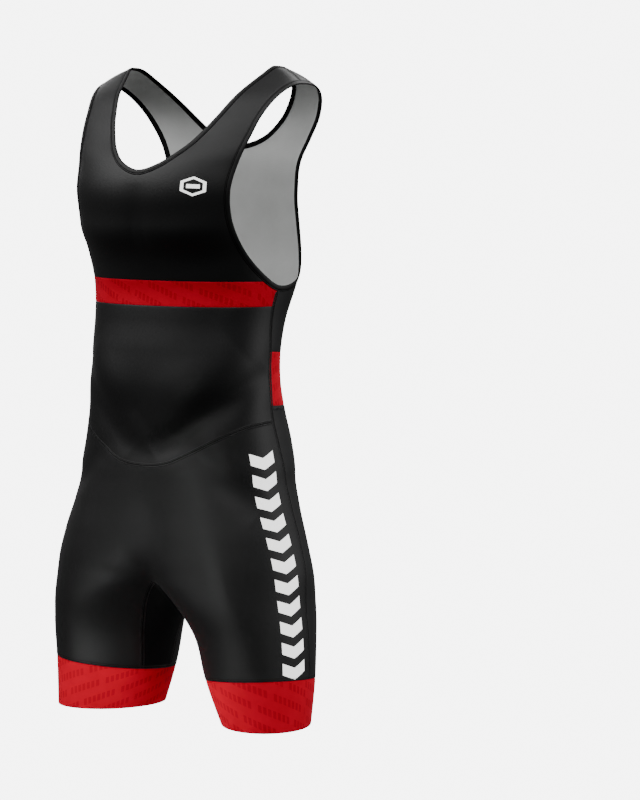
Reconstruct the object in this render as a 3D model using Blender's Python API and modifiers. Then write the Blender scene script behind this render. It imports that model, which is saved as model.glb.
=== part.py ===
"""Wrestling singlet, filled out as if worn and open inside.

The cloth panels, the red bands, the inner-leg gusset, the leg cuffs and the folded bindings are
separate closed walls. All of them lie on one smooth general figure, whose level sections are
listed below, and meet along named seams. Metres, +Z up, front towards -Y, wearer's left at +X.
The origin is level with the top of the shoulder straps, in the middle.
"""
import bpy
import numpy as np

# ---- cloth ---------------------------------------------------------------------------------
CLOTH = 0.0015            # thickness of the stretch knit
SEAM_GAP = 0.0003         # space between two walls at a seam
BINDING_WIDTH = 0.0075    # folded binding, seen from outside
BINDING_PROUD = 0.0005    # the binding stands out by this on both faces of the cloth
BINDING_ROUND = 0.0012    # its outer fold

# ---- the figure: level sections, each a rounded oval (all in metres) --------------------------
# One oval for each half of the body. Above the hips both ovals are the same one.
SECTION_COLUMNS = ("height", "centre_x", "half_width", "centre_y", "front", "back", "square",
                   "turn")   # the turn outwards of the leg ovals is in degrees
SECTIONS = np.array([
    (0.000, 0.000, 0.254, 0.044, 0.030, 0.066, 3.2, 0),
    (-0.030, 0.000, 0.232, 0.044, 0.072, 0.082, 3.2, 0),
    (-0.060, 0.000, 0.206, 0.038, 0.085, 0.094, 3.1, 0),
    (-0.090, 0.000, 0.184, 0.031, 0.096, 0.098, 2.8, 0),
    (-0.120, 0.000, 0.170, 0.030, 0.117, 0.093, 2.4, 0),
    (-0.160, 0.000, 0.165, 0.030, 0.130, 0.093, 2.3, 0),
    (-0.200, 0.000, 0.159, 0.032, 0.126, 0.092, 2.3, 0),
    (-0.240, 0.000, 0.152, 0.033, 0.113, 0.088, 2.3, 0),
    (-0.280, 0.000, 0.144, 0.027, 0.098, 0.083, 2.3, 0),
    (-0.320, 0.000, 0.137, 0.016, 0.091, 0.080, 2.3, 0),
    (-0.360, 0.000, 0.135, 0.008, 0.091, 0.078, 2.3, 0),
    (-0.400, 0.000, 0.136, 0.003, 0.091, 0.084, 2.3, 0),
    (-0.440, 0.000, 0.138, 0.003, 0.088, 0.098, 2.3, 0),
    (-0.480, 0.000, 0.145, 0.003, 0.088, 0.109, 2.3, 0),
    (-0.520, 0.000, 0.152, 0.003, 0.092, 0.108, 2.3, 0),
    (-0.560, 0.013, 0.148, 0.003, 0.096, 0.101, 2.3, 0),
    (-0.600, 0.038, 0.137, 0.003, 0.100, 0.092, 2.25, 0),
    (-0.640, 0.068, 0.118, 0.003, 0.101, 0.086, 2.15, 2),
    (-0.680, 0.092, 0.096, 0.003, 0.098, 0.086, 2.1, 10),
    (-0.720, 0.109, 0.082, 0.003, 0.088, 0.090, 2.05, 20),
    (-0.780, 0.121, 0.071, 0.003, 0.078, 0.086, 2.0, 28),
    (-0.860, 0.134, 0.053, 0.003, 0.067, 0.073, 2.0, 34),
])
CHEST_HEIGHT = -0.160      # above it the ovals close into the shoulders
SHOULDER_RISE = 0.1750
SHOULDER_POWER = 2.3
SPLIT_HEIGHT = -0.540      # below it the two halves part into legs
SPLIT_SPAN = 0.100
CROTCH_BLEND = 0.018       # softness of the hollow between the legs

# ---- finished edges and seams on the wearer's left half ---------------------------------------
NECK_FRONT = [             # x, y, z, from centre front to the shoulder
    (0.000, -0.094, -0.1275), (0.028, -0.087, -0.120), (0.051, -0.072, -0.104),
    (0.075, -0.045, -0.075), (0.091, -0.020, -0.045), (0.104, 0.010, -0.020)]
NECK_SHOULDER = (0.116, 0.050, 0.000)
NECK_BACK = [              # from the shoulder to centre back
    (0.111, 0.084, -0.013), (0.100, 0.103, -0.028), (0.086, 0.115, -0.045),
    (0.067, 0.122, -0.066), (0.038, 0.124, -0.088), (0.000, 0.121, -0.098)]
ARM_SHOULDER = (0.163, 0.041, -0.022)
ARM_FRONT = [              # from the shoulder down to the underarm
    (0.155, 0.004, -0.034), (0.146, -0.020, -0.057), (0.139, -0.036, -0.086),
    (0.131, -0.052, -0.119), (0.126, -0.063, -0.155), (0.125, -0.059, -0.190),
    (0.127, -0.042, -0.223), (0.135, -0.020, -0.252)]
UNDERARM = (0.144, 0.014, -0.276)
ARM_BACK = [               # from the underarm up to the shoulder
    (0.139, 0.060, -0.268), (0.126, 0.090, -0.245), (0.113, 0.104, -0.208),
    (0.106, 0.107, -0.168), (0.110, 0.107, -0.133), (0.121, 0.107, -0.101),
    (0.136, 0.103, -0.073), (0.153, 0.086, -0.043)]
SIDE_SEAM = [              # from the underarm to the leg cuff
    (0.141, 0.009, -0.303), (0.138, 0.008, -0.361), (0.139, 0.007, -0.430),
    (0.141, 0.008, -0.450), (0.149, 0.014, -0.495), (0.162, 0.019, -0.550),
    (0.181, 0.016, -0.612), (0.192, 0.012, -0.670), (0.196, 0.013, -0.730),
    (0.195, 0.014, -0.775), (0.190, 0.014, -0.830)]
YOKE_SEAM = [              # curved seam under the belly, from centre front to the side
    (0.000, -0.085, -0.507), (0.040, -0.083, -0.502), (0.068, -0.078, -0.489),
    (0.108, -0.060, -0.468), (0.130, -0.038, -0.456)]
CHEST_BAND_TOP = -0.271
CHEST_BAND_BOTTOM = -0.303
BACK_BAND_TOP = (-0.369, -0.361)       # at centre back, at the side seam
BACK_BAND_BOTTOM = (-0.435, -0.430)
YOKE_SIDE = -0.450
GUSSET_FRONT = [           # from centre front down to the cuff
    (0.000, -0.063, -0.655), (0.012, -0.058, -0.672), (0.023, -0.051, -0.692),
    (0.034, -0.040, -0.718), (0.042, -0.031, -0.750), (0.048, -0.024, -0.790),
    (0.053, -0.020, -0.840)]
GUSSET_BACK = [            # square top corner, then down the back of the inner leg
    (0.000, 0.066, -0.672), (0.018, 0.065, -0.674), (0.027, 0.058, -0.692),
    (0.038, 0.045, -0.722), (0.046, 0.035, -0.752), (0.051, 0.030, -0.790),
    (0.055, 0.027, -0.840)]
CROTCH_LOW = -0.695
CUFF_TOP = -0.782          # height of the cuff seam at the middle of the leg
CUFF_BOTTOM = -0.840
CUFF_CENTRE_X = 0.120
CUFF_TILT_X = 0.08         # the cuffs lie square to the spread legs
CUFF_TILT_Y = -0.08

# ---- cells along and across each panel ---------------------------------------------------------
ACROSS = 11                # centre line to side seam
BAND_TO_ARM = 9            # centre front to armhole along the chest band
CHEST_CELLS = (6, 14)      # centre front below the neck, then along the neckline
BACK_CELLS = (7, 13)       # upper centre back, then along the neckline
BACK_TURN = -0.305         # centre-back height that faces the underarm corner
SIDE_CELLS = (2, 4, 4, 1, 18)   # underarm, chest band, back band top, bottom, yoke, cuff
CENTRE_FRONT_CELLS = 9     # yoke to gusset
CENTRE_BACK_CELLS = 10     # back band to gusset
GUSSET_CELLS = 9
GUSSET_ACROSS = 6
CUFF_CELLS = 3
FINE = 240                 # points on a seam line before it is divided into cells

# ---- colours: red, green, blue, roughness ------------------------------------------------------
BLACK_KNIT = (0.012, 0.012, 0.013, 0.62)
BLACK_SHORTS = (0.015, 0.015, 0.016, 0.62)
BLACK_BINDING = (0.006, 0.006, 0.006, 0.55)
RED_KNIT = (0.560, 0.012, 0.018, 0.60)


# ---- the figure ---------------------------------------------------------------------------------
LEVELS = SECTIONS[::-1, 0]
OVALS = SECTIONS[::-1, 1:]
OVAL_SLOPES = np.gradient(OVALS, LEVELS, axis=0)


def oval_at(height):
    """The section's columns at any height, by cubic interpolation."""
    height = np.clip(height, LEVELS[0], LEVELS[-1])
    row = np.clip(np.searchsorted(LEVELS, height) - 1, 0, len(LEVELS) - 2)
    span = (LEVELS[row + 1] - LEVELS[row])[..., None]
    t = (height - LEVELS[row])[..., None] / span
    start = (1 + 2 * t) * (1 - t) ** 2 * OVALS[row] + t * (1 - t) ** 2 * span * OVAL_SLOPES[row]
    end = t * t * (3 - 2 * t) * OVALS[row + 1] + t * t * (t - 1) * span * OVAL_SLOPES[row + 1]
    return start + end


def half_body(points, side, oval):
    """Negative inside one half of the figure, zero on its surface."""
    centre_x, half_width, centre_y, front, back, square, turn = np.moveaxis(oval, -1, 0)
    out, back_by = points[..., 0] * side - centre_x, points[..., 1] - centre_y
    cosine, sine = np.cos(np.radians(turn)), np.sin(np.radians(turn))
    across, away = out * cosine + back_by * sine, back_by * cosine - out * sine
    depth = np.where(away < 0, front, back)
    ring = (np.abs(across / half_width) ** square + np.abs(away / depth) ** square) ** (1 / square)
    rise = np.maximum(0, points[..., 2] - CHEST_HEIGHT) / SHOULDER_RISE
    return 0.1 * ((ring ** SHOULDER_POWER + rise ** SHOULDER_POWER) ** (1 / SHOULDER_POWER) - 1)


def figure(points):
    """Both halves, joined softly where they part into legs."""
    oval = oval_at(points[..., 2])
    left = half_body(points, 1, oval)
    right = half_body(points, -1, oval)
    parted = np.clip((SPLIT_HEIGHT - points[..., 2]) / SPLIT_SPAN, 0, 1)
    blend = np.maximum(CROTCH_BLEND * parted * parted * (3 - 2 * parted), 1e-9)
    near = np.maximum(blend - np.abs(left - right), 0) / blend
    return np.minimum(left, right) - near * near * blend / 4


def slope(points, step=1e-4):
    ahead = [figure(points + d) - figure(points - d) for d in np.eye(3) * step]
    return np.stack(ahead, -1) / (2 * step)


def outward(points):
    normal = slope(points)
    return normal / np.linalg.norm(normal, axis=-1, keepdims=True)


def drop(points, level=False, rounds=12):
    """Moves points onto the figure's surface, or only within their own level."""
    points = np.array(points, float)
    on_centre = np.abs(points[..., 0]) < 1e-9
    for _ in range(rounds):
        way = slope(points)
        if level:
            way[..., 2] = 0
        move = way * (figure(points) / np.maximum((way * way).sum(-1), 1e-6))[..., None]
        length = np.linalg.norm(move, axis=-1, keepdims=True)
        points -= move * np.minimum(1, 0.02 / np.maximum(length, 1e-12))
        points[on_centre, 0] = 0
    return points


# ---- seam lines ------------------------------------------------------------------------------
def lengths(line):
    steps = np.linalg.norm(np.diff(line, axis=0), axis=1)
    return np.concatenate([[0], np.cumsum(steps)])


def at_lengths(line, where):
    run = lengths(line)
    return np.stack([np.interp(where, run, line[:, k]) for k in range(3)], -1)


def divide(line, cells):
    """A line as so many equal cells, with its points back on the surface."""
    return drop(at_lengths(line, np.linspace(0, lengths(line)[-1], cells + 1)))


def smooth(points, fine=FINE):
    """A smooth curve through the points, laid on the figure."""
    points = np.array(points, float)
    run = lengths(points)
    slopes = np.gradient(points, run, axis=0)
    where = np.linspace(0, run[-1], fine + 1)
    row = np.clip(np.searchsorted(run, where) - 1, 0, len(run) - 2)
    span = (run[row + 1] - run[row])[:, None]
    t = (where - run[row])[:, None] / span
    start = (1 + 2 * t) * (1 - t) ** 2 * points[row] + t * (1 - t) ** 2 * span * slopes[row]
    end = t * t * (3 - 2 * t) * points[row + 1] + t * t * (t - 1) * span * slopes[row + 1]
    return drop(start + end)


def mirrored(points):
    return np.array(points, float)[::-1] * (-1, 1, 1)


def from_centre(points):
    """A smooth curve that starts square to the centre plane."""
    points = np.array(points, float)
    both = smooth(np.concatenate([mirrored(points)[:-1], points]), 2 * FINE)
    half = both[FINE:].copy()
    half[0, 0] = 0
    return half


def split(line, measure, value):
    """Cuts a line where a measure of its points first passes a value."""
    amount = measure(line) - value
    k = np.nonzero(amount[:-1] * amount[1:] <= 0)[0][0]
    t = amount[k] / (amount[k] - amount[k + 1])
    cut = line[k] * (1 - t) + line[k + 1] * t
    return np.vstack([line[:k + 1], cut]), np.vstack([cut, line[k + 1:]])


def height_of(line):
    return line[:, 2]


def depth_of(line):
    return line[:, 1]


def above_cuff(line, cuff=CUFF_TOP):
    """Height above the tilted plane of the cuff seam."""
    plane = cuff + CUFF_TILT_X * (line[..., 0] - CUFF_CENTRE_X) + CUFF_TILT_Y * line[..., 1]
    return line[..., 2] - plane


def sideways_of(line, closed):
    """Unit directions along the surface, square to the line."""
    if closed:
        along = np.roll(line, -1, axis=0) - np.roll(line, 1, axis=0)
    else:
        along = np.gradient(line, axis=0)
        ends = np.abs(line[[0, -1], 0]) < 1e-9
        along[0, 1:] *= not ends[0]
        along[-1, 1:] *= not ends[1]
    side = np.cross(outward(line), along)
    return side / np.linalg.norm(side, axis=1, keepdims=True)


# ---- panels -----------------------------------------------------------------------------------
def patch(top, bottom, left, right):
    """A Coons patch between four divided seam lines, laid on the figure."""
    u = np.linspace(0, 1, len(top))[None, :, None]
    v = np.linspace(0, 1, len(left))[:, None, None]
    across = (1 - v) * top[None] + v * bottom[None]
    down = (1 - u) * left[:, None] + u * right[:, None]
    corners = ((1 - u) * (1 - v) * top[0] + u * (1 - v) * top[-1]
               + (1 - u) * v * bottom[0] + u * v * bottom[-1])
    grid = across + down - corners
    centre = np.zeros(grid.shape[:2], bool)
    centre[:, 0] = np.abs(left[:, 0]) < 1e-9
    grid[centre, 0] = 0
    grid[1:-1, 1:-1] = drop(grid[1:-1, 1:-1])
    grid[0], grid[-1] = top, bottom
    grid[:, 0], grid[:, -1] = left, right
    return grid


def inset(grid, distance=SEAM_GAP / 2):
    """Draws a panel's edges in from its seams, but not from the centre plane."""
    result = grid.copy()
    for flip in (False, True):
        work = np.swapaxes(grid, 0, 1) if flip else grid
        target = np.swapaxes(result, 0, 1) if flip else result
        for edge, inner in ((0, 1), (-1, -2)):
            line = work[edge]
            along = np.gradient(line, axis=0)
            along /= np.linalg.norm(along, axis=1, keepdims=True)
            inwards = work[inner] - line
            inwards -= (inwards * along).sum(1)[:, None] * along
            inwards /= np.linalg.norm(inwards, axis=1, keepdims=True)
            on_centre = np.abs(line[:, 0]) < 1e-9
            whole = on_centre.all()
            inwards[on_centre, 0] = 0
            if not whole:
                target[edge] += inwards * distance
    return result


def panel_faces(rows, columns, flip, open_edge):
    """Triangles of a wall with its outer sheet, inner sheet and rim."""
    sheet = np.arange(rows * columns).reshape(rows, columns)
    a, b, c, d = sheet[:-1, :-1], sheet[:-1, 1:], sheet[1:, 1:], sheet[1:, :-1]
    cells = np.stack([a, b, c, d], -1).reshape(-1, 4)
    outer = np.concatenate([cells[:, [0, 1, 2]], cells[:, [0, 2, 3]]])
    inner = outer[:, ::-1] + rows * columns
    round_edge = [(sheet[0, j + 1], sheet[0, j]) for j in range(columns - 1)]
    round_edge += [(sheet[-1, j], sheet[-1, j + 1]) for j in range(columns - 1)]
    round_edge += [(sheet[i, 0], sheet[i + 1, 0]) for i in range(rows - 1)]
    round_edge += [(sheet[i + 1, -1], sheet[i, -1]) for i in range(rows - 1)]
    rim = [(p, q, q + rows * columns, p + rows * columns)
           for p, q in round_edge if not (p in open_edge and q in open_edge)]
    rim = [(f[0], f[1], f[2]) for f in rim] + [(f[0], f[2], f[3]) for f in rim]
    faces = np.concatenate([outer, inner, np.array(rim)])
    return faces[:, ::-1] if flip else faces


def add_object(name, vertices, faces, material, mirror):
    mesh = bpy.data.meshes.new(name)
    mesh.from_pydata([tuple(v) for v in vertices], [], [tuple(map(int, f)) for f in faces])
    mesh.shade_smooth()
    mesh.set_sharp_from_angle(angle=np.radians(40))
    mesh.materials.append(material)
    piece = bpy.data.objects.new(name, mesh)
    garment.objects.link(piece)
    if mirror:
        other_half = piece.modifiers.new("other half", "MIRROR")
        other_half.use_axis = (True, False, False)
        other_half.merge_threshold = 0.00005
    return piece


def add_panel(name, grid, material):
    """A half panel as a wall, completed by its mirror image."""
    grid = inset(grid)
    normals = outward(grid)
    normals[np.abs(grid[..., 0]) < 1e-9, 0] = 0
    wall = np.concatenate([grid.reshape(-1, 3), (grid - CLOTH * normals).reshape(-1, 3)])
    rows, columns = grid.shape[:2]
    turned = np.cross(grid[0, 1] - grid[0, 0], grid[1, 0] - grid[0, 0]) @ normals[0, 0] < 0
    on_centre = set(np.nonzero(np.abs(grid.reshape(-1, 3)[:, 0]) < 1e-9)[0])
    faces = panel_faces(rows, columns, turned, on_centre)
    return add_object(name, wall, faces, material, mirror=True)


def ring_faces(rows, columns, closed):
    """Triangles of a tube: each row is a station, its columns go round the tube's section."""
    sheet = np.arange(rows * columns).reshape(rows, columns)
    ahead = np.roll(sheet, -1, axis=0) if closed else sheet[1:]
    here = sheet if closed else sheet[:-1]
    cells = np.stack([here, np.roll(here, -1, axis=1), np.roll(ahead, -1, axis=1), ahead], -1)
    cells = cells.reshape(-1, 4)
    return np.concatenate([cells[:, [0, 1, 2]], cells[:, [0, 2, 3]]])


def signed_volume(vertices, faces):
    a, b, c = (vertices[faces[:, k]] for k in range(3))
    return np.einsum("ij,ij->i", a, np.cross(b, c)).sum() / 6


def binding_section():
    """Distance out from the panel's edge and height over the cloth, round the fold."""
    gap, width, edge = SEAM_GAP / 2, BINDING_WIDTH, BINDING_ROUND
    top, under = BINDING_PROUD, -CLOTH - BINDING_PROUD
    return [(gap, top), (width - edge, top), (width, top - edge), (width, under + edge),
            (width - edge, under), (gap, under)]


def add_binding(name, line, opening, material, closed, mirror_to=1):
    """A folded strip along a panel edge, on the side of the opening."""
    side = sideways_of(line, closed)
    side *= np.sign(((opening - line) * side).sum())
    columns = []
    for out, height in binding_section():
        foot = line + side * out
        foot[np.abs(line[:, 0]) < 1e-9, 0] = 0
        foot = drop(foot)
        normals = outward(foot)
        normals[np.abs(foot[:, 0]) < 1e-9, 0] = 0
        columns.append(foot + normals * height)
    strip = np.stack(columns, 1)
    faces = ring_faces(*strip.shape[:2], closed)
    vertices = strip.reshape(-1, 3)
    if signed_volume(vertices - vertices.mean(0), faces) < 0:
        faces = faces[:, ::-1]
    if mirror_to < 0:
        vertices, faces = vertices * (-1, 1, 1), faces[:, ::-1]
    return add_object(name, vertices, faces, material, mirror=not closed)


def add_cuff(name, seam, material, mirror_to):
    """A closed band round one leg, from the cuff seam down to the finished edge."""
    rings = []
    for share in np.linspace(0, 1, CUFF_CELLS + 1):
        ring = seam.copy()
        for _ in range(4):
            cuff = CUFF_TOP + share * (CUFF_BOTTOM - CUFF_TOP)
            ring[:, 2] -= above_cuff(ring, cuff)
            ring = drop(ring, level=True)
        rings.append(ring)
    grid = np.stack(rings, 1)
    grid[:, 0, 2] -= SEAM_GAP / 2
    normals = outward(grid)
    strip = np.concatenate([grid, (grid - CLOTH * normals)[:, ::-1]], 1)
    faces = ring_faces(*strip.shape[:2], closed=True)
    vertices = strip.reshape(-1, 3)
    if signed_volume(vertices - vertices.mean(0), faces) < 0:
        faces = faces[:, ::-1]
    if mirror_to < 0:
        vertices, faces = vertices * (-1, 1, 1), faces[:, ::-1]
    return add_object(name, vertices, faces, material, mirror=False)


def fabric(name, colour):
    material = bpy.data.materials.new(name)
    material.use_nodes = True
    shader = material.node_tree.nodes["Principled BSDF"]
    shader.inputs["Base Color"].default_value = (*colour[:3], 1)
    shader.inputs["Roughness"].default_value = colour[3]
    shader.inputs["Metallic"].default_value = 0
    return material


# ---- seam layout -------------------------------------------------------------------------------
def seam_layout():
    """Every seam line of the left half, divided into cells."""
    neck = np.concatenate([NECK_FRONT, [NECK_SHOULDER], NECK_BACK])
    whole = from_centre(neck)
    whole[-1, 0] = 0
    side = sideways_of(whole, closed=False)
    neck_edge = whole - side * BINDING_WIDTH * np.sign((side[0] @ (0, 0, 1)))
    neck_edge[[0, -1], 0] = 0
    neck_edge = drop(neck_edge)
    neck_front, neck_back = split(neck_edge, depth_of, NECK_SHOULDER[1])

    arm = np.concatenate([[ARM_SHOULDER], ARM_FRONT, [UNDERARM], ARM_BACK])
    ring = smooth(np.concatenate([arm[-3:], arm, arm[:4]]), 3 * FINE)
    first = np.linalg.norm(ring - drop(np.array(ARM_SHOULDER)), axis=1)
    half = len(ring) // 2
    start, stop = first[:half].argmin(), half + first[half:].argmin()
    ring = ring[start:stop]
    side = sideways_of(ring, closed=True)
    centre = ring.mean(0)
    outwards = -np.sign(((centre - ring) * side).sum())
    arm_edge = drop(ring + side * outwards * BINDING_WIDTH)
    low = np.linalg.norm(ring - drop(np.array(UNDERARM)), axis=1).argmin()
    arm_front, arm_back = arm_edge[:low + 1], np.vstack([arm_edge[low:], arm_edge[:1]])
    above_band, beside_band = split(arm_front, height_of, CHEST_BAND_TOP)

    side_line = smooth(np.vstack([arm_front[-1], SIDE_SEAM]), 2 * FINE)
    stretches = []
    rest = side_line
    for level in (CHEST_BAND_BOTTOM, BACK_BAND_TOP[1], BACK_BAND_BOTTOM[1], YOKE_SIDE):
        stretch, rest = split(rest, height_of, level)
        stretches.append(stretch)
    stretches.append(split(rest, above_cuff, 0)[0])
    sides = [divide(s, n) for s, n in zip(stretches, SIDE_CELLS)]

    def band_line(front, centre_height, side_point, cells):
        """Level line from the centre plane to a side point."""
        t = np.linspace(0, 1, FINE + 1)
        depth = -0.12 if front else 0.12
        line = np.stack([side_point[0] * np.sin(t * np.pi / 2),
                         side_point[1] + (depth - side_point[1]) * np.cos(t * np.pi / 2),
                         centre_height + (side_point[2] - centre_height) * t ** 2], -1)
        line[0, 0] = 0
        return divide(drop(line, level=True), cells)

    seams = {}
    seams["neck_front"] = divide(neck_front, CHEST_CELLS[1])
    seams["neck_back"] = divide(neck_back, BACK_CELLS[1])
    seams["arm_front"] = divide(above_band, sum(CHEST_CELLS))
    seams["arm_band"] = divide(beside_band, ACROSS - BAND_TO_ARM)
    seams["arm_back"] = divide(arm_back, sum(BACK_CELLS))
    seams["sides"] = sides
    seams["band_top"] = band_line(True, CHEST_BAND_TOP, beside_band[0], BAND_TO_ARM)
    seams["band_bottom"] = band_line(True, CHEST_BAND_BOTTOM, sides[0][-1], ACROSS)
    seams["back_top"] = band_line(False, BACK_BAND_TOP[0], sides[1][-1], ACROSS)
    seams["back_bottom"] = band_line(False, BACK_BAND_BOTTOM[0], sides[2][-1], ACROSS)
    seams["yoke"] = divide(from_centre(YOKE_SEAM + [tuple(sides[3][-1])]), ACROSS)
    seams["gusset_front"] = divide(split(smooth(GUSSET_FRONT), above_cuff, 0)[0], GUSSET_CELLS)
    seams["gusset_back"] = divide(split(smooth(GUSSET_BACK), above_cuff, 0)[0], GUSSET_CELLS)
    return seams


def centre_line(start, end, cells):
    """A line in the centre plane between two of its points."""
    t = np.linspace(0, 1, cells + 1)[:, None]
    line = drop(np.array(start) * (1 - t) + np.array(end) * t, level=True)
    return divide(line, cells)


def cuff_run(start, end, cells, way):
    """Part of the cuff seam, from one point round the leg to another."""
    leg = np.array([CUFF_CENTRE_X, 0.003])
    angles = [np.arctan2(p[1] - leg[1], p[0] - leg[0]) for p in (start, end)]
    sweep = (angles[1] - angles[0]) % (2 * np.pi)
    if way < 0:
        sweep -= 2 * np.pi
    a = angles[0] + np.linspace(0, sweep, FINE + 1)
    line = np.stack([leg[0] + 0.075 * np.cos(a), leg[1] + 0.075 * np.sin(a), 0 * a], -1)
    line[:, 2] = CUFF_TOP
    for _ in range(4):
        line[:, 2] -= above_cuff(line)
        line = drop(line, level=True)
    line[0], line[-1] = start, end
    return divide(line, cells)


def build_singlet():
    knit = fabric("black stretch knit", BLACK_KNIT)
    shorts = fabric("black stretch knit, shorts", BLACK_SHORTS)
    red = fabric("red stretch knit", RED_KNIT)
    edging = fabric("black folded binding", BLACK_BINDING)
    s = seam_layout()
    sides = s["sides"]
    side_upper = np.vstack([sides[0], sides[1][1:]])
    side_belly = np.vstack([sides[1], sides[2][1:], sides[3][1:]])
    side_seat = np.vstack([sides[3], sides[4][1:]])

    # chest with both front straps: its rows run from the centre line and the neckline to the arm
    neck = s["neck_front"]
    centre = centre_line(s["band_top"][0], neck[0], CHEST_CELLS[0])
    inner = np.vstack([centre, neck[1:]])
    outer = s["arm_front"][::-1]
    shoulder = divide(drop(np.linspace(neck[-1], outer[-1], 60)), BAND_TO_ARM)
    add_panel("front_upper", patch(s["band_top"], shoulder, inner, outer), knit)

    # red band under the chest
    top = np.vstack([s["band_top"], s["arm_band"][1:]])
    centre = centre_line(top[0], s["band_bottom"][0], SIDE_CELLS[0])
    add_panel("chest_band", patch(top, s["band_bottom"], centre, sides[0]), red)

    # belly
    centre = centre_line(s["band_bottom"][0], s["yoke"][0], len(side_belly) - 1)
    add_panel("front_belly", patch(s["band_bottom"], s["yoke"], centre, side_belly), knit)

    # front of the shorts
    centre = centre_line(s["yoke"][0], s["gusset_front"][0], CENTRE_FRONT_CELLS)
    centre = np.vstack([centre, s["gusset_front"][1:]])
    hem_front = cuff_run(s["gusset_front"][-1], sides[4][-1], ACROSS, way=1)
    add_panel("shorts_front", patch(s["yoke"], hem_front, centre, sides[4]), shorts)

    # back with both back straps, laid out like the chest
    neck = s["neck_back"][::-1]
    turn = drop(np.array([[0, neck[0, 1], BACK_TURN]]), level=True)[0]
    centre = centre_line(s["back_top"][0], turn, len(side_upper) - 1)
    upper_centre = centre_line(turn, neck[0], BACK_CELLS[0])
    inner = np.vstack([centre, upper_centre[1:], neck[1:]])
    outer = np.vstack([side_upper[::-1], s["arm_back"][1:]])
    shoulder = divide(drop(np.linspace(neck[-1], outer[-1], 60)), ACROSS)
    add_panel("back_upper", patch(s["back_top"], shoulder, inner, outer), knit)

    # red band across the back of the waist
    centre = centre_line(s["back_top"][0], s["back_bottom"][0], SIDE_CELLS[2])
    add_panel("back_band", patch(s["back_top"], s["back_bottom"], centre, sides[2]), red)

    # seat and back of the shorts
    centre = centre_line(s["back_bottom"][0], s["gusset_back"][0], CENTRE_BACK_CELLS)
    centre = np.vstack([centre, s["gusset_back"][1:]])
    hem_back = cuff_run(s["gusset_back"][-1], sides[4][-1], ACROSS, way=-1)
    add_panel("shorts_back", patch(s["back_bottom"], hem_back, centre, side_seat), shorts)

    # inner-leg and crotch panel
    under = [s["gusset_front"][0], (0, -0.030, CROTCH_LOW), (0, 0, CROTCH_LOW),
             (0, 0.030, CROTCH_LOW), s["gusset_back"][0]]
    under = divide(smooth(under), GUSSET_ACROSS)
    hem_inner = cuff_run(s["gusset_front"][-1], s["gusset_back"][-1], GUSSET_ACROSS, way=-1)
    grid = patch(s["gusset_front"], s["gusset_back"], under, hem_inner)
    add_panel("crotch_gusset", grid, shorts)

    # leg cuffs
    seam = np.vstack([hem_front[:-1], hem_back[::-1][:-1], hem_inner[::-1][:-1]])
    add_cuff("hem_band_left", seam, red, 1)
    add_cuff("hem_band_right", seam, red, -1)

    # bindings round the neck and the armholes
    neck = np.vstack([s["neck_front"], s["neck_back"][1:]])
    add_binding("neck_binding", neck, np.array([0, 0.03, 0.05]), edging, closed=False)
    arm = np.vstack([s["arm_front"], s["arm_band"][1:], s["arm_back"][1:-1]])
    for name, side in (("armhole_binding_left", 1), ("armhole_binding_right", -1)):
        add_binding(name, arm, arm.mean(0), edging, closed=True, mirror_to=side)


for old in list(bpy.data.objects):
    bpy.data.objects.remove(old, do_unlink=True)
garment = bpy.data.collections.new("wrestling singlet")
bpy.context.scene.collection.children.link(garment)
build_singlet()
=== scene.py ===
"""Looks for a wrestling singlet: a stretch-knit one-piece, filled out as if worn and open inside.

Every panel is a surface over two parameters: a net stretched between its seam lines, laid on one
smooth general figure and moved along the figure's normal by the cloth's own creases. Metres, +Z up,
front towards -Y, the wearer's left at +X.
"""

import bpy
import numpy as np
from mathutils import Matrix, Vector


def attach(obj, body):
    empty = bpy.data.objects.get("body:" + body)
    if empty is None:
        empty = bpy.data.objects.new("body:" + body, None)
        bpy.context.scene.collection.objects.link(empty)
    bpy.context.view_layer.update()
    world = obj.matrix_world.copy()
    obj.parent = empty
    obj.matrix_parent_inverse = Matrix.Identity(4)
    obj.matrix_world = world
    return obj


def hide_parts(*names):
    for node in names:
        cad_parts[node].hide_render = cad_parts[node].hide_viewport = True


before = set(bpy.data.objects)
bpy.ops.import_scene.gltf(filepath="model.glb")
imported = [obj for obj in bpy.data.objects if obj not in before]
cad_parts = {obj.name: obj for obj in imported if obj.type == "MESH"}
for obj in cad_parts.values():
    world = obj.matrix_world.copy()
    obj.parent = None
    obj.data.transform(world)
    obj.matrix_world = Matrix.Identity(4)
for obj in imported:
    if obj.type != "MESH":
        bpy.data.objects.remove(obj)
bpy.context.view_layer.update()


def metres(*points):
    """Points given in mm as an array in metres: each number over a thousand."""
    return np.array(points, float) / 1000


# ---- sizes, in metres ----
CLOTH = 0.0010            # stretch knit
CUFF_CLOTH = 0.0014       # the leg bands are folded double
CELL = 0.0030             # side of a cell of the cloth's net
FINE_CELLS = (0.0006, 0.0014)           # finer cells at both ends of a net
SEAM_DIP, SEAM_REACH = 0.00035, 0.0016  # depth of the cloth's dip into a seam, and its width
CUFF_DIP, HEM_REACH = 0.0004, 0.0006    # the same for a leg band and its rounded hem
CUFF_STATIONS = 130       # points round a leg band
BINDING_WIDTH = 0.0075    # folded binding, seen from outside
STITCH_WIDTH = 0.0066     # flat seam with two rows of stitches
WAIST_STITCH, WAIST_DROP = 0.0032, 0.0040  # a finer seam, and how far below the back band
CUFF_STITCH, CUFF_RISE = 0.0044, 0.0026    # the seam over a leg band, and how far above it
PRINT_RISE, PRINT_CELL = 0.00012, 0.0020   # a heat-transfer print stands on the cloth

# sides of a profile that have its second material: the stitches of a seam and its join; on a binding,
# the stitches in its furrow, and painted shade in the same dark thread along its outer join, its
# turned fold and its inner face
SEAM_THREADS = (4, 7, 8, 9, 12)
TAPE_SHADOWS = (0, 1, 3, 4, *range(9, 23))

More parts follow.
